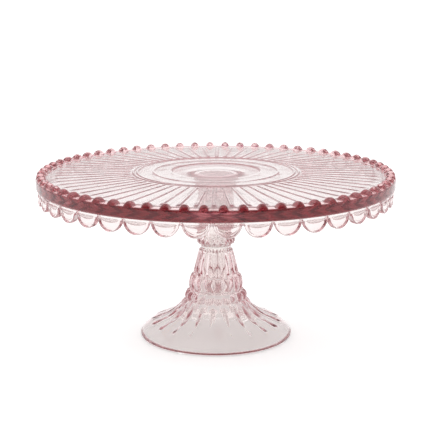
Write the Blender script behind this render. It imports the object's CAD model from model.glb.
import bpy
import math
import numpy as np
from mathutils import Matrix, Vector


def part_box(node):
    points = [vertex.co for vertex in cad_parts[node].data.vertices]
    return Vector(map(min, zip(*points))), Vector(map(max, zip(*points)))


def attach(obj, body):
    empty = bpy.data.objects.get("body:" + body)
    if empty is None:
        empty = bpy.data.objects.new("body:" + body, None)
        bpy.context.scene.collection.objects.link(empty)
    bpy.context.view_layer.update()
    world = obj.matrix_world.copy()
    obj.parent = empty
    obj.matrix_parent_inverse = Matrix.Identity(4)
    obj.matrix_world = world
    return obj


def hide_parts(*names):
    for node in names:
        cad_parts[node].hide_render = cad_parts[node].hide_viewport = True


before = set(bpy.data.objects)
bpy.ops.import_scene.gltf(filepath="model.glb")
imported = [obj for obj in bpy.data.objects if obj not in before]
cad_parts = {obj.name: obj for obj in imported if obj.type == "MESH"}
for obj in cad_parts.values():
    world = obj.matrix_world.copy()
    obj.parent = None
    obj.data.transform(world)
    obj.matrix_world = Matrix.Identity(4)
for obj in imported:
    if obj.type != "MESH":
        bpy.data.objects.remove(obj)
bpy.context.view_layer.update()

mm = 0.001
fullTurn = 2 * math.pi


def boxInMm(node):       # lowest and highest corner of a node, in millimetres
    low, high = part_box(node)
    return np.array(low) / mm, np.array(high) / mm


plateLow, plateHigh = boxInMm("cake_plate")
stemHigh = boxInMm("pedestal")[1]
bondLow, bondHigh = boxInMm("bond_disc")
print("frame loaded: plate radius", round(plateHigh[0], 2), "top", round(plateHigh[2], 2))


# Curve through points: cubic pieces, whose slope at each point is the harmonic mean of the rises
# on either side of it, or nought where they differ in sign. Each end takes the rise next to it.
def flowThrough(values, at):
    values = np.asarray(values, float)
    rise = np.diff(values)
    product = rise[1:] * rise[:-1]
    total = np.where(np.abs(rise[1:] + rise[:-1]) > 1e-9, rise[1:] + rise[:-1], 1)
    inner = np.where(product > 0, 2 * product / total, 0)
    slope = np.concatenate([[rise[0]], inner, [rise[-1]]])
    low = np.clip(np.floor(at).astype(int), 0, len(values) - 2)
    u = at - low
    return (values[low] * (1 + 2 * u) * (1 - u) ** 2 + slope[low] * u * (1 - u) ** 2
            + values[low + 1] * u ** 2 * (3 - 2 * u) + slope[low + 1] * u ** 2 * (u - 1))


# Half-ellipse dome: the square root of one minus the distance to a power, nought outside one.
def dome(distance, power=2.0):
    return np.sqrt(np.clip(1 - np.abs(distance) ** power, 0, 1))


# Smooth step from 0 to 1 between two values: three squares less two cubes.
def smoothStep(value, start, end):
    u = np.clip((value - start) / (end - start), 0, 1)
    return u * u * (3 - 2 * u)


# Window: a smooth step up between the first two values, times a smooth step down between the last two.
def window(value, upFrom, upTo, downFrom, downTo):
    return smoothStep(value, upFrom, upTo) * smoothStep(-value, -downTo, -downFrom)


# Signed share of a repeat, from -0.5 to 0.5: the repeats past the nearest one's middle.
def repeatShare(angles, middle, repeats):
    return (((angles - middle) * repeats / fullTurn + 0.5) % 1) - 0.5


# Angle of the nearest repeat's middle: the angle less its share of a repeat.
def repeatMiddle(angles, middle, repeats):
    return angles - repeatShare(angles, middle, repeats) * fullTurn / repeats


# Draws samples together: within each repeat, shares in steps land on the given angles from its middle.
def gather(angles, middle, repeats, shares, offsets):
    share = repeatShare(angles, middle, repeats)
    half = fullTurn / repeats / 2
    moved = np.interp(np.abs(share), list(shares) + [0.5], list(offsets) + [half])
    return repeatMiddle(angles, middle, repeats) + np.sign(share) * moved


# Turned mesh from rings of points, inside to outside to inside, closed by a point at each end.
# Rings with the same count join by quads. Where one ring has a whole multiple of the other's count,
# each face takes one side of the coarse ring and several of the fine one.
def turnedMesh(name, rings, firstPoint, lastPoint):
    starts = np.cumsum([1] + [len(r) for r in rings])
    points = np.concatenate([[firstPoint]] + list(rings) + [[lastPoint]])
    ids = [np.arange(s, s + len(r)) for s, r in zip(starts, rings)]
    faces = np.stack([np.zeros_like(ids[0]), ids[0], np.roll(ids[0], -1)], -1).tolist()
    for a, b in zip(ids[:-1], ids[1:]):
        if len(a) == len(b):
            strip = np.stack([a, b, np.roll(b, -1), np.roll(a, -1)], -1)
        elif len(b) > len(a):
            times = len(b) // len(a)
            spans = [np.roll(b, -k)[::times] for k in range(times + 1)]
            strip = np.stack([a] + spans + [np.roll(a, -1)], -1)
        else:
            times = len(a) // len(b)
            spans = [np.roll(a, -k)[::times] for k in range(times, -1, -1)]
            strip = np.stack([b, np.roll(b, -1)] + spans, -1)
        faces += strip.tolist()
    end = len(points) - 1
    faces += np.stack([ids[-1], np.full_like(ids[-1], end), np.roll(ids[-1], -1)], -1).tolist()
    mesh = bpy.data.meshes.new(name)
    mesh.from_pydata((points * mm).tolist(), [], faces)
    mesh.polygons.foreach_set("use_smooth", np.ones(len(faces), bool))
    mesh.update()
    piece = bpy.data.objects.new(name, mesh)
    bpy.context.scene.collection.objects.link(piece)
    return piece


# One ring of points: radius and height, each a number or an array, at the given angles.
def ring(radius, height, angles):
    radius = np.broadcast_to(radius, angles.shape)
    height = np.broadcast_to(height, angles.shape)
    return np.stack([radius * np.cos(angles), radius * np.sin(angles), height], -1)


plateShape = dict(
    beads=64, petals=40, samplesPerBead=20, centreShare=4,
    beadTurn=2.2, petalTurn=3.325,                        # degrees
    crownTop=133.0, crownFlat=36.0, platformRadius=130.8, platformEdge=130.7,
    rimFlat=132.0, rimTop=130.4, discThickness=8.9,
    beadRing=135.9, beadHalfLength=3.75, beadHalfWidth=3.3,
    beadLongPower=2.5, beadSidePower=2.2, beadRings=13,
    beadShares=(0, 0.05, 0.1, 0.15, 0.2, 0.25),           # shares of a repeat
    beadBends=(0, 18, 36, 54, 72, 90),                    # degrees round the bead at those shares
    edgeRound=1.2, bandBottom=122.0, coveRadius=138.2,
    topTurns=(52, 70, 90), footTurns=(0, 35, 65, 90), wallSteps=(0.33, 0.67),
    petalFace=138.4, petalField=137.5, petalInner=134.0, petalHalfWidth=9.9, petalBorder=1.9,
    petalWidePower=2.2, petalDownPower=0.6, fieldBelowBand=2.4, fieldRamp=1.5, fieldLine=0.3,
    petalShares=(0, 0.1, 0.2, 0.3, 0.4), petalSteps=(0, 3.3, 6.2, 8.4, 9.6),
    webHeight=119.3, skirtInner=133.4, underFillet=1.8,
    filletTurns=((0, 0.2), (30, 0.5), (60, 0.8), (90, 1.0)),              # degrees, share turned even
    ribInner=66.5, ribOuter=126.0, ribHalfWidth=1.5, ribHeight=0.36, ribMiddles=(84, 98, 112),
    ribFade=((0, 0), (0.8, 0.6), (2.0, 0.95), (3.0, 1)),                  # from the end, share of rise
    ribShares=(0, 0.05, 0.1, 0.15), ribSteps=(0, 0.4, 0.78, 1),
    topRidges=((48.6, 1.8, 0.2), (61.2, 1.7, 0.3), (64.4, 1.6, 0.3)),     # radius, half width, rise
    innerSpan=(46.8, 50.4, 9), outerSpan=(59.2, 66.0, 18),                # from, to, rings
    dishRadius=33.6, dishEdge=1.2, dishDepth=0.4, dishMiddle=18.0, dishMargin=1.5, dishRings=5,
    beforeRidges=41.0, betweenRidges=55.0,
    hub=17.5, hubFlare=6.0, hubFoot=0.5, hubRings=8, hubCore=8.0,
    underRadii=(112, 96, 80, 66), hubRadii=(56, 46), hubStart=28,
)


# Top of the plate: level in the middle, a slight slope to the platform's edge, then a short slope
# down to the rim. Round ridges each add a raised cosine, and the dish in the middle is a smooth step
# down.
def crownHeight(radius, s):
    height = np.interp(radius, (s["crownFlat"], s["platformRadius"], s["rimFlat"]),
                       (s["crownTop"], s["platformEdge"], s["rimTop"]))
    for centre, halfWidth, rise in s["topRidges"]:
        across = np.clip((radius - centre) / halfWidth, -1, 1)
        height = height + rise * (1 + np.cos(math.pi * across)) / 2
    outside = smoothStep(radius, s["dishRadius"], s["dishRadius"] + s["dishEdge"])
    return height - s["dishDepth"] * (1 - outside)


# Underside of the disc: the crowned top without its ridges and dish, less the thickness.
def underHeight(radius, s):
    height = np.interp(radius, (s["crownFlat"], s["platformRadius"]),
                       (s["crownTop"], s["platformEdge"]))
    return height - s["discThickness"]


# Radial ribs on the top: half-elliptical in section, fading out at both ends.
def plateRibs(s, angles):
    middle = math.radians(s["beadTurn"] + 180 / s["beads"])
    rings = []
    inward = [(s["ribInner"] + away, share) for away, share in s["ribFade"]]
    level = [(radius, 1) for radius in s["ribMiddles"]]
    outward = [(s["ribOuter"] - away, share) for away, share in reversed(s["ribFade"])]
    for radius, share in inward + level + outward:
        width = s["ribHalfWidth"] / radius
        ribAngles = gather(angles, middle, s["beads"], s["ribShares"], np.array(s["ribSteps"]) * width)
        section = dome((ribAngles - repeatMiddle(ribAngles, middle, s["beads"])) / width)
        height = crownHeight(radius, s) + s["ribHeight"] * share * section
        rings.append(ring(radius, height, ribAngles))
    return rings


# Top face and beads: the crown, with a dome at each bead that is a product of a lengthways and a
# sideways half-ellipse.
def plateTop(s, angles, beadAngles):
    rings = plateRibs(s, angles)
    blend = (angles + beadAngles) / 2
    for radius in (s["platformRadius"] - 1, s["platformRadius"], s["rimFlat"]):
        rings.append(ring(radius, crownHeight(radius, s), blend))
    middle = repeatMiddle(beadAngles, math.radians(s["beadTurn"]), s["beads"])
    sideways = dome((beadAngles - middle) * s["beadRing"] / s["beadHalfWidth"], s["beadSidePower"])
    cornerStart = plateHigh[0] - s["edgeRound"]
    for along in np.sin(np.linspace(-math.pi / 2, math.pi / 2, s["beadRings"])):
        radius = s["beadRing"] + s["beadHalfLength"] * along
        past = max(radius - cornerStart, 0)
        base = s["rimTop"] - s["edgeRound"] + math.sqrt(s["edgeRound"] ** 2 - past ** 2)
        rise = (plateHigh[2] - s["rimTop"]) * dome(along, s["beadLongPower"]) * sideways
        rings.append(ring(radius, base + rise, beadAngles))
    return rings


# Rim band: two quarter rounds with an upright wall between them, then a small cove.
def plateBand(s, beadAngles, petalAngles):
    rings = []
    corner = plateHigh[0] - s["edgeRound"]
    for turn in s["topTurns"]:
        a = math.radians(turn)
        rings.append(ring(corner + s["edgeRound"] * math.sin(a),
                          s["rimTop"] - s["edgeRound"] * (1 - math.cos(a)), beadAngles))
    wallTop = s["rimTop"] - s["edgeRound"]
    wallFoot = s["bandBottom"] + s["edgeRound"]
    for step in s["wallSteps"]:
        blend = beadAngles + (petalAngles - beadAngles) * step
        rings.append(ring(plateHigh[0], wallTop + (wallFoot - wallTop) * step, blend))
    for turn in s["footTurns"]:
        a = math.radians(turn)
        rings.append(ring(corner + s["edgeRound"] * math.cos(a),
                          wallFoot - s["edgeRound"] * math.sin(a), petalAngles))
    rings.append(ring(s["coveRadius"] + 0.1, s["bandBottom"] - 0.05, petalAngles))
    return rings


# Lower edge of a petal's outline: down from the top by the drop to the tip, times a power of one less
# a power of the share aside.
def petalCurve(s, aside, halfWidth, top, tip):
    share = np.clip(1 - np.abs(aside / halfWidth) ** s["petalWidePower"], 0, 1)
    return top - (top - tip) * share ** s["petalDownPower"]


# Petals: the outer face has a raised border that follows the petal's outline, a set-back field inside
# it, and a faint second line within the field; the inner face is plain.
def platePetals(s, petalAngles):
    middle = repeatMiddle(petalAngles, math.radians(s["petalTurn"]), s["petals"])
    aside = (petalAngles - middle) * s["petalFace"]
    tip = plateLow[2]
    edge = petalCurve(s, aside, s["petalHalfWidth"], s["webHeight"], tip)
    fieldTop = s["bandBottom"] - s["fieldBelowBand"]
    inset = s["petalHalfWidth"] - s["petalBorder"]
    fieldArc = petalCurve(s, aside, inset, fieldTop - 0.05, tip + s["petalBorder"])
    fieldEdge = np.clip(fieldArc, edge + 0.5, None)
    deep = np.clip((fieldTop - fieldEdge) / s["fieldRamp"], 0, 1)
    face, inner = s["petalFace"], s["petalInner"]
    field = face - (face - s["petalField"]) * deep
    line = field + s["fieldLine"] * deep
    rows = [                                              # radius and height, top to tip to the inside
        (s["coveRadius"], s["bandBottom"] - 0.45),
        (face - 0.15, s["bandBottom"] - 0.8), (face, s["bandBottom"] - 1.1),
        (face, fieldTop + 0.2), (field, fieldTop - 0.2 * deep),
        (field, fieldTop + (fieldEdge - fieldTop) * 0.72),
        (line, fieldTop + (fieldEdge - fieldTop) * 0.80),
        (field, fieldTop + (fieldEdge - fieldTop) * 0.90),
        (field, fieldEdge + 0.05), (face, fieldEdge - 0.3),
        (face, edge + 0.55), (face - 0.25, edge + 0.12), (face - 0.7, edge),
        (inner + 0.7, edge), (inner + 0.2, edge + 0.15), (inner, edge + 0.6),
        (s["skirtInner"] + 0.1, np.minimum(edge + 4, s["webHeight"] + 0.6)),
    ]
    return [ring(radius, height, petalAngles) for radius, height in rows]


# Underside: a quarter-round fillet inside the skirt, then the plain disc parallel to the top.
def plateUnderside(s, angles, petalAngles):
    foot = underHeight(s["platformRadius"], s)
    rings = []
    for turn, blend in s["filletTurns"]:
        a = math.radians(turn)
        mixed = petalAngles + (angles - petalAngles) * blend
        rings.append(ring(s["skirtInner"] - s["underFillet"] * (1 - math.cos(a)),
                          foot - s["underFillet"] * (1 - math.sin(a)), mixed))
    for radius in (s["platformRadius"], *s["underRadii"]):
        rings.append(ring(radius, underHeight(radius, s), angles))
    return rings


# Hub: a quarter-ellipse flare from the disc down to the face that meets the stem.
def plateHub(s, angles):
    bottom = float(bondHigh[2])
    top = s["crownTop"] - s["discThickness"]
    radii = (*s["hubRadii"], s["crownFlat"], s["hubStart"])
    rows = [(radius, underHeight(radius, s)) for radius in radii]
    for turn in np.radians(np.linspace(0, 90, s["hubRings"])):
        rows.append((s["hub"] + s["hubFlare"] * (1 - math.sin(turn)),
                     bottom + s["hubFoot"] + (top - bottom - s["hubFoot"]) * math.cos(turn)))
    rows += [(s["hub"] - 0.15, bottom + 0.15), (s["hub"] - 0.5, bottom), (s["hubCore"], bottom)]
    return [ring(radius, height, angles) for radius, height in rows]


# Whole plate: rings from the middle of the top, over the rim and down the petals, to the hub beneath.
def makePlate(s):
    count = s["beads"] * s["samplesPerBead"]
    turn = math.radians(s["beadTurn"])
    angles = turn + fullTurn * np.arange(count) / count
    coarse = angles[::s["centreShare"]]
    bends = np.sin(np.radians(s["beadBends"])) * s["beadHalfWidth"] / s["beadRing"]
    beadAngles = gather(angles, turn, s["beads"], s["beadShares"], bends)
    petalSteps = np.array(s["petalSteps"]) / s["petalFace"]
    petalAngles = gather(angles, math.radians(s["petalTurn"]), s["petals"],
                         s["petalShares"], petalSteps)
    centre = [s["dishMiddle"], s["dishRadius"] - s["dishMargin"]]
    centre += list(np.linspace(s["dishRadius"], s["dishRadius"] + s["dishEdge"], s["dishRings"]))
    centre += [s["crownFlat"], s["beforeRidges"], *np.linspace(*s["innerSpan"])]
    centre += [s["betweenRidges"], *np.linspace(*s["outerSpan"])]
    rings = [ring(r, crownHeight(r, s), coarse) for r in centre]
    rings += plateTop(s, angles, beadAngles)
    rings += plateBand(s, beadAngles, petalAngles)
    rings += platePetals(s, petalAngles)
    rings += plateUnderside(s, angles, petalAngles)
    rings += plateHub(s, coarse)
    topPoint, hubPoint = (0, 0, crownHeight(0.0, s)), (0, 0, float(bondHigh[2]))
    return turnedMesh("pressedPlate", rings, topPoint, hubPoint)


pedestalShape = dict(
    flutes=20, samplesPerFlute=20, fluteTurn=4.4,        # degrees
    ringsPerPiece=4, hollowRingsPerPiece=3,
    outer=(                                              # radius and height of the plain turned shape
        (13.2, 117.9), (14.2, 117.5), (14.6, 116.4), (14.4, 113.6), (14.1, 110.6), (13.9, 100.0),
        (13.7, 88.0), (13.6, 80.4), (13.2, 76.6), (12.3, 73.7), (12.0, 72.2), (12.5, 70.9),
        (13.4, 69.9), (13.9, 68.2), (15.5, 61.9), (17.1, 55.3), (18.0, 51.2), (18.7, 48.6),
        (19.4, 44.0), (19.6, 40.2), (19.8, 38.2), (20.9, 36.6), (22.3, 33.4), (23.0, 30.6),
        (24.6, 28.8), (27.3, 26.3), (30.4, 23.2), (34.6, 19.6), (39.8, 16.4), (45.5, 13.8),
        (50.6, 11.6), (54.6, 9.2), (57.8, 6.4), (59.6, 4.2), (60.3, 2.7), (60.0, 1.6)),
    sole=((59.4, 1.1), (58.9, 1.0), (57.6, 1.0), (57.0, 1.2)),
    hollow=(
        (55.4, 3.0), (51.6, 6.2), (46.3, 9.0), (39.0, 12.4), (30.6, 16.8), (23.6, 21.8),
        (18.8, 27.0), (16.2, 33.0), (14.6, 40.0), (13.0, 48.0), (11.2, 57.0), (9.9, 66.0),
        (9.3, 77.0), (9.0, 90.0), (8.4, 99.0), (7.0, 103.2), (4.0, 105.6)),
    hollowTop=106.2,
    topCollar=113.6, lowCollar=77.3, collarHalfHeight=2.4, collarBead=1.9,
    knop=43.6, knopHalfHeight=6.4, knopLobe=1.9,
    beadRing=33.2, beadHalfHeight=3.4, beadLobe=2.3,
    scallopHeight=28.3, scallopHalf=2.4, scallopLobe=0.9,
    lobeShare=0.46, scallopShare=0.4, collarPower=2.3, knopPower=2.8, beadPower=2.2,
    footTop=31, stemGroove=0.95, groovePower=2.6, footGroove=0.35, footPower=3,
    stemFade=(79.5, 82, 108, 110.5),                     # heights: up from, up to, down from, down to
    columnFade=(50.0, 53.0, 68, 70), slopeFade=(27.0, 31.0, 44.0, 51.0),     # heights, and radii
    columnTop=68, columnReach=18, columnDeepening=0.06,
    streakRadius=34.0, streakHalf=8.5, streakWidth=1.8, streakDepth=1.2,
    dropStart=42.5, dropEnd=51.6, dropWidth=2.5, dropDepth=1.4,
    dropShoulder=0.72, dropCap=0.28, leastWidth=0.01,
)


# Ornament round the pedestal, as a distance along the surface's normal at each ring and angle:
# beads, lobes and scallops are products of two half-ellipses. The grooves of stem, column and foot
# deepen with a power of the share from the middle of a repeat. The foot also has a long streak, and a
# drop that widens outwards to a round end: each is as deep as one less the squared share of its width.
def pedestalRelief(s, radius, height, share):
    radius = radius[:, None]
    height = height[:, None]
    share = np.abs(share)[None, :]
    across = dome(share / s["lobeShare"])
    relief = 0
    for rise, middle, half, power in (
            ("collarBead", "topCollar", "collarHalfHeight", "collarPower"),
            ("collarBead", "lowCollar", "collarHalfHeight", "collarPower"),
            ("knopLobe", "knop", "knopHalfHeight", "knopPower"),
            ("beadLobe", "beadRing", "beadHalfHeight", "beadPower")):
        relief = relief + s[rise] * across * dome((height - s[middle]) / s[half], s[power])
    between = dome((0.5 - share) / s["scallopShare"])
    onFoot = height < s["footTop"]
    scallop = dome((height - s["scallopHeight"]) / s["scallopHalf"])
    relief = relief + s["scallopLobe"] * between * scallop * onFoot
    groove = (2 * share) ** s["groovePower"]
    upper = window(height, *s["stemFade"])
    column = window(height, *s["columnFade"])
    deepening = 1 + s["columnDeepening"] * np.clip(s["columnTop"] - height, 0, s["columnReach"])
    relief = relief - groove * s["stemGroove"] * (upper + column * deepening)
    slope = window(radius, *s["slopeFade"]) * onFoot
    relief = relief - s["footGroove"] * (2 * share) ** s["footPower"] * slope
    fromGroove = (0.5 - share) * fullTurn / s["flutes"] * radius
    streak = np.clip(1 - ((radius - s["streakRadius"]) / s["streakHalf"]) ** 2, 0, 1) * onFoot
    width = s["streakWidth"] * np.sqrt(streak) + s["leastWidth"]
    relief = relief - s["streakDepth"] * (np.clip(1 - (fromGroove / width) ** 2, 0, 1) * streak)
    along = np.clip((radius - s["dropStart"]) / (s["dropEnd"] - s["dropStart"]), 0, 1)
    cap = dome(np.clip((along - s["dropShoulder"]) / s["dropCap"], 0, 1))
    drop = along * cap * onFoot
    width = s["dropWidth"] * drop + s["leastWidth"]
    return relief - s["dropDepth"] * (np.clip(1 - (fromGroove / width) ** 2, 0, 1) * drop)


# Whole pedestal: the turned outline moved along its normal by the ornament, then the sole and the
# hollow beneath.
def makePedestal(s):
    count = s["flutes"] * s["samplesPerFlute"]
    turn = math.radians(s["fluteTurn"] - 90)
    angles = turn + fullTurn * np.arange(count) / count
    share = repeatShare(angles, turn, s["flutes"])
    outer = np.array(s["outer"])
    at = np.linspace(0, len(outer) - 1, (len(outer) - 1) * s["ringsPerPiece"] + 1)
    radius, height = flowThrough(outer[:, 0], at), flowThrough(outer[:, 1], at)
    alongRadius, alongHeight = np.gradient(radius), np.gradient(height)
    length = np.hypot(alongRadius, alongHeight)
    outRadius, outHeight = -alongHeight / length, alongRadius / length
    relief = pedestalRelief(s, radius, height, share)
    radii = radius[:, None] + outRadius[:, None] * relief
    heights = height[:, None] + outHeight[:, None] * relief
    rings = [ring(r, h, angles) for r, h in zip(radii, heights)]
    rings += [ring(r, h, angles) for r, h in s["sole"]]
    hollow = np.array(s["hollow"])
    at = np.linspace(0, len(hollow) - 1, (len(hollow) - 1) * s["hollowRingsPerPiece"] + 1)
    radius, height = flowThrough(hollow[:, 0], at), flowThrough(hollow[:, 1], at)
    rings += [ring(r, h, angles) for r, h in zip(radius, height)]
    topHeight = float(stemHigh[2])
    return turnedMesh("pressedPedestal", rings, (0, 0, topHeight), (0, 0, s["hollowTop"]))


bondShape = dict(sides=96, soften=0.1, edgeRings=9, innerShare=0.5, gap=0.02)
padShape = dict(sides=48, soften=0.5, edgeRings=9, innerShare=0.5, gap=0.02)


# Thin round slab with rounded edges: the edge is a half-ellipse, from the top's middle to the bottom's.
def makeSlab(name, centre, radius, bottom, top, s):
    angles = fullTurn * np.arange(s["sides"]) / s["sides"]
    middle, half = (bottom + top) / 2, (top - bottom) / 2
    turns = np.radians(np.linspace(90, -90, s["edgeRings"]))
    rows = [(radius * s["innerShare"], top)]
    rows += [(radius - s["soften"] * (1 - math.cos(a)), middle + half * math.sin(a)) for a in turns]
    rows.append((radius * s["innerShare"], bottom))
    shift = np.array([centre[0], centre[1], 0])
    rings = [ring(r, h, angles) + shift for r, h in rows]
    return turnedMesh(name, rings, (centre[0], centre[1], top), (centre[0], centre[1], bottom))


plate = makePlate(plateShape)
print("plate made:", len(plate.data.polygons), "faces")
pedestal = makePedestal(pedestalShape)
print("pedestal made:", len(pedestal.data.polygons), "faces")
bond = makeSlab("bondLayer", (0, 0), bondHigh[0], bondLow[2] + bondShape["gap"],
                bondHigh[2] - bondShape["gap"], bondShape)
pads = []
for number in range(1, 5):
    low, high = boxInMm(f"bumper_pad_{number}")
    pads.append(makeSlab(f"clearPad{number}", (low + high)[:2] / 2, (high - low)[0] / 2,
                         low[2], high[2] - padShape["gap"], padShape))
print("bond and", len(pads), "pads made")


waveShape = dict(
    waveDetail=2.0, waveRoughness=0.4, streakScale=14.0, streakDetail=3.0,
    roughFrom=0.35, roughTo=0.75,                         # parts of the streak noise
)


# Value group: fine waves of fire-polished pressed glass from two noises, as a height, a tone and a
# roughness. The tone and the roughness each blend two given values by the slower noise.
def makeWaveGroup(s):
    group = bpy.data.node_groups.new("pressedWaves", "ShaderNodeTree")
    face = group.interface
    for name, kind, value in (("Wave Size", "Float", 60.0), ("Clear Tone", "Color", (1, 1, 1, 1)),
                              ("Streak Tone", "Color", (1, 1, 1, 1)), ("Smoothest", "Float", 0.0),
                              ("Roughest", "Float", 0.1)):
        socket = face.new_socket(name, in_out="INPUT", socket_type="NodeSocket" + kind)
        socket.default_value = value
    for name, kind in (("Height", "Float"), ("Tone", "Color"), ("Roughness", "Float")):
        face.new_socket(name, in_out="OUTPUT", socket_type="NodeSocket" + kind)
    nodes, links = group.nodes, group.links
    given = nodes.new("NodeGroupInput")
    result = nodes.new("NodeGroupOutput")
    place = nodes.new("ShaderNodeTexCoord")
    wave = nodes.new("ShaderNodeTexNoise")
    wave.inputs["Detail"].default_value = s["waveDetail"]
    wave.inputs["Roughness"].default_value = s["waveRoughness"]
    links.new(place.outputs["Object"], wave.inputs["Vector"])
    links.new(given.outputs["Wave Size"], wave.inputs["Scale"])
    streak = nodes.new("ShaderNodeTexNoise")
    streak.inputs["Scale"].default_value = s["streakScale"]
    streak.inputs["Detail"].default_value = s["streakDetail"]
    links.new(place.outputs["Object"], streak.inputs["Vector"])
    mix = nodes.new("ShaderNodeMix")
    mix.data_type = "RGBA"
    links.new(streak.outputs["Fac"], mix.inputs["Factor"])
    links.new(given.outputs["Clear Tone"], mix.inputs["A"])
    links.new(given.outputs["Streak Tone"], mix.inputs["B"])
    rough = nodes.new("ShaderNodeMapRange")
    rough.inputs["From Min"].default_value = s["roughFrom"]
    rough.inputs["From Max"].default_value = s["roughTo"]
    links.new(streak.outputs["Fac"], rough.inputs["Value"])
    links.new(given.outputs["Smoothest"], rough.inputs["To Min"])
    links.new(given.outputs["Roughest"], rough.inputs["To Max"])
    links.new(wave.outputs["Fac"], result.inputs["Height"])
    links.new(mix.outputs["Result"], result.inputs["Tone"])
    links.new(rough.outputs["Result"], result.inputs["Roughness"])
    return group


zoneShape = dict(strokeFrom=0.08, strokeTo=0.34, halfWave=0.5)


# Value group: four masks from the distance to the upright axis, the height and the bearing. The spot is
# a disc on the top face. Outside a radius, with a soft start, the rim is what stands above one height
# and the skirt what hangs below another. The arrows go round the band as a triangle wave of the
# bearing times a count, less the height's distance from the band's middle with the sign of X.
def makeZoneGroup(s):
    group = bpy.data.node_groups.new("plateZones", "ShaderNodeTree")
    face = group.interface
    for name in ("Spot Radius", "Spot Height", "Rim Start", "Rim End", "Rim Height", "Skirt Height",
                 "Arrows Per Radian", "Arrow Height", "Arrow Reach", "Arrow Slant"):
        face.new_socket(name, in_out="INPUT", socket_type="NodeSocketFloat")
    for name in ("Spot", "Rim", "Skirt", "Arrow"):
        face.new_socket(name, in_out="OUTPUT", socket_type="NodeSocketFloat")
    nodes, links = group.nodes, group.links
    given = nodes.new("NodeGroupInput")
    result = nodes.new("NodeGroupOutput")
    place = nodes.new("ShaderNodeTexCoord")
    parts = nodes.new("ShaderNodeSeparateXYZ")
    links.new(place.outputs["Object"], parts.inputs["Vector"])
    flat = nodes.new("ShaderNodeCombineXYZ")
    links.new(parts.outputs["X"], flat.inputs["X"])
    links.new(parts.outputs["Y"], flat.inputs["Y"])
    away = nodes.new("ShaderNodeVectorMath")
    away.operation = "LENGTH"
    links.new(flat.outputs["Vector"], away.inputs[0])

    def maths(operation, *values):       # one Math node, fed by sockets or plain numbers
        node = nodes.new("ShaderNodeMath")
        node.operation = operation
        for socket, value in zip(node.inputs, values):
            if isinstance(value, float):
                socket.default_value = value
            else:
                links.new(value, socket)
        return node.outputs["Value"]

    inside = maths("LESS_THAN", away.outputs["Value"], given.outputs["Spot Radius"])
    onTop = maths("GREATER_THAN", parts.outputs["Z"], given.outputs["Spot Height"])
    links.new(maths("MULTIPLY", inside, onTop), result.inputs["Spot"])
    outward = nodes.new("ShaderNodeMapRange")
    links.new(away.outputs["Value"], outward.inputs["Value"])
    links.new(given.outputs["Rim Start"], outward.inputs["From Min"])
    links.new(given.outputs["Rim End"], outward.inputs["From Max"])
    above = maths("GREATER_THAN", parts.outputs["Z"], given.outputs["Rim Height"])
    links.new(maths("MULTIPLY", outward.outputs["Result"], above), result.inputs["Rim"])
    below = maths("LESS_THAN", parts.outputs["Z"], given.outputs["Skirt Height"])
    links.new(maths("MULTIPLY", outward.outputs["Result"], below), result.inputs["Skirt"])
    bearing = maths("ARCTAN2", parts.outputs["Y"], parts.outputs["X"])
    over = maths("SUBTRACT", parts.outputs["Z"], given.outputs["Arrow Height"])
    fromMiddle = maths("ABSOLUTE", over)
    side = maths("SIGN", parts.outputs["X"])
    slant = maths("MULTIPLY", side, maths("MULTIPLY", fromMiddle, given.outputs["Arrow Slant"]))
    turns = maths("MULTIPLY", bearing, given.outputs["Arrows Per Radian"])
    phase = maths("SUBTRACT", turns, slant)
    stroke = nodes.new("ShaderNodeMapRange")
    stroke.interpolation_type = "SMOOTHSTEP"
    for name, value in (("From Min", s["strokeFrom"]), ("From Max", s["strokeTo"]),
                        ("To Min", 1.0), ("To Max", 0.0)):
        stroke.inputs[name].default_value = value
    links.new(maths("PINGPONG", phase, s["halfWave"]), stroke.inputs["Value"])
    near = maths("LESS_THAN", fromMiddle, given.outputs["Arrow Reach"])
    onBand = maths("MULTIPLY", near, outward.outputs["Result"])
    links.new(maths("MULTIPLY", stroke.outputs["Result"], onBand), result.inputs["Arrow"])
    return group


waveGroup = makeWaveGroup(waveShape)
zoneGroup = makeZoneGroup(zoneShape)


# A group's node, with its inputs set by name.
def groupNode(nodes, group, values):
    node = nodes.new("ShaderNodeGroup")
    node.node_tree = group
    for name, value in values.items():
        node.inputs[name].default_value = value
    return node


# Clear material: the group's tone, roughness and bump on a plain transmissive surface, with plain
# absorption inside where there is a density.
def makeClear(name, look):
    material = bpy.data.materials.new(name)
    material.use_nodes = True
    nodes, links = material.node_tree.nodes, material.node_tree.links
    surface = nodes["Principled BSDF"]
    surface.inputs["IOR"].default_value = look["ior"]
    surface.inputs["Transmission Weight"].default_value = look["clear"]
    surface.inputs["Metallic"].default_value = 0.0
    wave = groupNode(nodes, waveGroup, look["wave"])
    links.new(wave.outputs["Tone"], surface.inputs["Base Color"])
    links.new(wave.outputs["Roughness"], surface.inputs["Roughness"])
    bump = nodes.new("ShaderNodeBump")
    bump.inputs["Strength"].default_value = look["bump"]
    bump.inputs["Distance"].default_value = look["bumpDepth"]
    links.new(wave.outputs["Height"], bump.inputs["Height"])
    links.new(bump.outputs["Normal"], surface.inputs["Normal"])
    if look["density"] > 0:
        tint = nodes.new("ShaderNodeVolumeAbsorption")
        tint.inputs["Color"].default_value = (*look["tint"], 1)
        tint.inputs["Density"].default_value = look["density"]
        links.new(tint.outputs["Volume"], nodes["Material Output"].inputs["Volume"])
    return material


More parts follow.
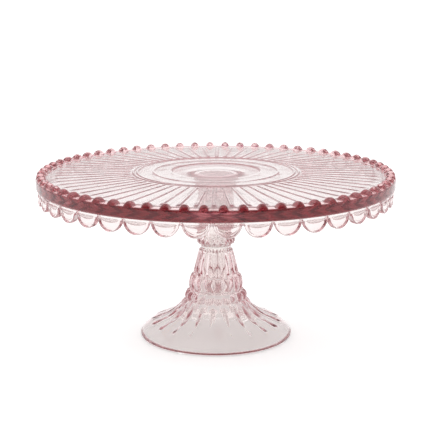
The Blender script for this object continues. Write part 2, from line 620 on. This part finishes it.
# Plate's zones: the rim, the skirt, the arrows and the spot each blend their own tone over the base
# colour, in that order, and the spot is satin.
def addZones(material, zones):
    nodes, links = material.node_tree.nodes, material.node_tree.links
    surface = nodes["Principled BSDF"]
    zone = groupNode(nodes, zoneGroup, zones["limits"])
    for mask, tone in (("Rim", zones["rimTone"]), ("Skirt", zones["skirtTone"]),
                       ("Arrow", zones["arrowTone"]), ("Spot", zones["spotTone"])):
        blend = nodes.new("ShaderNodeMix")
        blend.data_type = "RGBA"
        links.new(zone.outputs[mask], blend.inputs["Factor"])
        links.new(surface.inputs["Base Color"].links[0].from_socket, blend.inputs["A"])
        blend.inputs["B"].default_value = (*tone, 1)
        links.new(blend.outputs["Result"], surface.inputs["Base Color"])
    rough = nodes.new("ShaderNodeMix")
    links.new(zone.outputs["Spot"], rough.inputs["Factor"])
    links.new(surface.inputs["Roughness"].links[0].from_socket, rough.inputs["A"])
    rough.inputs["B"].default_value = zones["spotRoughness"]
    links.new(rough.outputs["Result"], surface.inputs["Roughness"])


pinkGlass = dict(
    ior=1.52, clear=1.0, bump=0.25, bumpDepth=0.0004,
    tint=(0.66, 0.18, 0.24), density=15.0,
    wave={"Wave Size": 70.0, "Clear Tone": (0.935, 0.95, 0.93, 1),
          "Streak Tone": (0.925, 0.93, 0.91, 1), "Smoothest": 0.0, "Roughest": 0.03})
stemGlass = dict(pinkGlass, density=26.0)
plateZones = dict(
    limits={"Spot Radius": 0.0336, "Spot Height": 0.131, "Rim Start": 0.1322, "Rim End": 0.1335,
            "Rim Height": 0.1219, "Skirt Height": 0.1199,            # metres
            "Arrows Per Radian": plateShape["beads"] / fullTurn, "Arrow Height": 0.1268,
            "Arrow Reach": 0.0032, "Arrow Slant": 160.0},
    rimTone=(0.86, 0.52, 0.53), skirtTone=(0.875, 0.82, 0.81), arrowTone=(0.20, 0.03, 0.06),
    spotTone=(1.0, 1.0, 0.985), spotRoughness=0.14)
clearBond = dict(
    ior=1.50, clear=1.0, bump=0.2, bumpDepth=0.0002, tint=(1, 1, 1), density=0.0,
    wave={"Wave Size": 120.0, "Clear Tone": (1, 0.985, 0.98, 1),
          "Streak Tone": (0.97, 0.95, 0.95, 1), "Smoothest": 0.0, "Roughest": 0.05})
clearPad = dict(
    ior=1.46, clear=0.95, bump=0.3, bumpDepth=0.0002, tint=(1, 1, 1), density=0.0,
    wave={"Wave Size": 300.0, "Clear Tone": (0.98, 0.975, 0.97, 1),
          "Streak Tone": (0.92, 0.91, 0.90, 1), "Smoothest": 0.12, "Roughest": 0.3})

plateMaterial = makeClear("pinkPlateGlass", pinkGlass)
addZones(plateMaterial, plateZones)
glassMaterial = makeClear("pinkPressedGlass", stemGlass)
bondMaterial = makeClear("clearBond", clearBond)
padMaterial = makeClear("clearPad", clearPad)


# Gives a piece its material, and says which node it replaces and which slot it fills.
def dress(piece, material, node):
    piece.data.materials.append(material)
    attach(piece, "root")
    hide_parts(node)


dress(plate, plateMaterial, "cake_plate")
dress(pedestal, glassMaterial, "pedestal")
dress(bond, bondMaterial, "bond_disc")
for number, pad in enumerate(pads, start=1):
    dress(pad, padMaterial, f"bumper_pad_{number}")
print("materials and nodes done")

studio = dict(
    floorRadius=14.0, floorSides=64, paperShine=0.1,
    paperWave=30.0, paperSmoothest=0.8, paperRoughest=0.95,
    floorTone=(0.97, 0.97, 0.97), floorStreak=(0.955, 0.955, 0.955),
    skyTone=(1.0, 1.0, 1.0), roomTone=(0.16, 0.10, 0.10), skyStrength=0.88, tableGlow=0.44,
    roomFrom=-0.85, roomTo=-0.3, topFrom=0.75, topTo=0.98,          # parts of a unit direction
    keySize=1.6, keyPower=3.6, keyPlace=(-0.5, -0.4, 1.6), keyAim=(0, 0, 0.1),
    cameraBack=0.98, cameraUp=0.31025, pitchDown=12.508, yawRight=0.19,     # metres and degrees
    focalLength=1271.0, imageLongSide=441,                # both measured across the image
    sensor=36.0,
)


# Floor: a flat round sheet at height nought, where the pads stand, that glows weakly.
def makeFloor(s):
    angles = fullTurn * np.arange(s["floorSides"]) / s["floorSides"]
    points = np.concatenate([[[0, 0, 0]], ring(s["floorRadius"], 0.0, angles)])
    rim = np.arange(1, s["floorSides"] + 1)
    faces = np.stack([np.zeros_like(rim), rim, np.roll(rim, -1)], -1)
    mesh = bpy.data.meshes.new("studioFloor")
    mesh.from_pydata(points.tolist(), [], faces.tolist())
    floor = bpy.data.objects.new("studioFloor", mesh)
    bpy.context.scene.collection.objects.link(floor)
    material = bpy.data.materials.new("palePaper")
    material.use_nodes = True
    nodes, links = material.node_tree.nodes, material.node_tree.links
    surface = nodes["Principled BSDF"]
    paper = groupNode(nodes, waveGroup, {
        "Wave Size": s["paperWave"], "Clear Tone": (*s["floorTone"], 1),
        "Streak Tone": (*s["floorStreak"], 1), "Smoothest": s["paperSmoothest"],
        "Roughest": s["paperRoughest"]})
    links.new(paper.outputs["Tone"], surface.inputs["Base Color"])
    links.new(paper.outputs["Roughness"], surface.inputs["Roughness"])
    surface.inputs["Specular IOR Level"].default_value = s["paperShine"]
    surface.inputs["Emission Color"].default_value = (1, 1, 1, 1)
    surface.inputs["Emission Strength"].default_value = s["tableGlow"]
    mesh.materials.append(material)


# Sky: white behind and overhead, falling to a darker room in front. Depth and height each give a smooth
# step, and the greater of the two blends the room's tone into the sky's.
def makeSky(s):
    world = bpy.data.worlds.new("studioSky")
    world.use_nodes = True
    nodes, links = world.node_tree.nodes, world.node_tree.links
    place = nodes.new("ShaderNodeTexCoord")
    parts = nodes.new("ShaderNodeSeparateXYZ")
    links.new(place.outputs["Generated"], parts.inputs["Vector"])
    steps = []
    for axis, start, end in (("Y", "roomFrom", "roomTo"), ("Z", "topFrom", "topTo")):
        step = nodes.new("ShaderNodeMapRange")
        step.interpolation_type = "SMOOTHSTEP"
        step.inputs["From Min"].default_value = s[start]
        step.inputs["From Max"].default_value = s[end]
        links.new(parts.outputs[axis], step.inputs["Value"])
        steps.append(step.outputs["Result"])
    lit = nodes.new("ShaderNodeMath")
    lit.operation = "MAXIMUM"
    for step, socket in zip(steps, lit.inputs):
        links.new(step, socket)
    tone = nodes.new("ShaderNodeMix")
    tone.data_type = "RGBA"
    tone.inputs["A"].default_value = (*s["roomTone"], 1)
    tone.inputs["B"].default_value = (*s["skyTone"], 1)
    links.new(lit.outputs["Value"], tone.inputs["Factor"])
    links.new(tone.outputs["Result"], nodes["Background"].inputs["Color"])
    nodes["Background"].inputs["Strength"].default_value = s["skyStrength"]
    bpy.context.scene.world = world


# Square lamp at a place, turned so that it shines on a point: its tilt and bearing are those of the
# line between them.
def addLight(name, size, power, place, aim):
    data = bpy.data.lights.new(name, "AREA")
    data.shape = "SQUARE"
    data.size = size
    data.energy = power
    light = bpy.data.objects.new(name, data)
    bpy.context.scene.collection.objects.link(light)
    light.location = place
    away = np.array(place) - np.array(aim)
    flat = math.hypot(away[0], away[1])
    light.rotation_euler = (math.atan2(flat, away[2]), 0, math.atan2(away[0], -away[1]))


# Camera in front of the stand, pitched down and turned a little; the lens is the focal length as a
# share of the image's long side, times the sensor.
def makeCamera(s):
    data = bpy.data.cameras.new("standCamera")
    data.sensor_width = s["sensor"]
    data.lens = s["focalLength"] / s["imageLongSide"] * s["sensor"]
    camera = bpy.data.objects.new("standCamera", data)
    bpy.context.scene.collection.objects.link(camera)
    camera.location = (0, -s["cameraBack"], s["cameraUp"])
    camera.rotation_euler = (math.radians(90 - s["pitchDown"]), 0, -math.radians(s["yawRight"]))
    bpy.context.scene.camera = camera


makeFloor(studio)
makeSky(studio)
addLight("overheadSoft", studio["keySize"], studio["keyPower"], studio["keyPlace"], studio["keyAim"])
makeCamera(studio)

scene = bpy.context.scene
scene.view_settings.view_transform = "Standard"
scene.cycles.max_bounces = 40
scene.cycles.transmission_bounces = 40
scene.cycles.glossy_bounces = 24
scene.cycles.diffuse_bounces = 4
scene.cycles.transparent_max_bounces = 16
print("studio done")
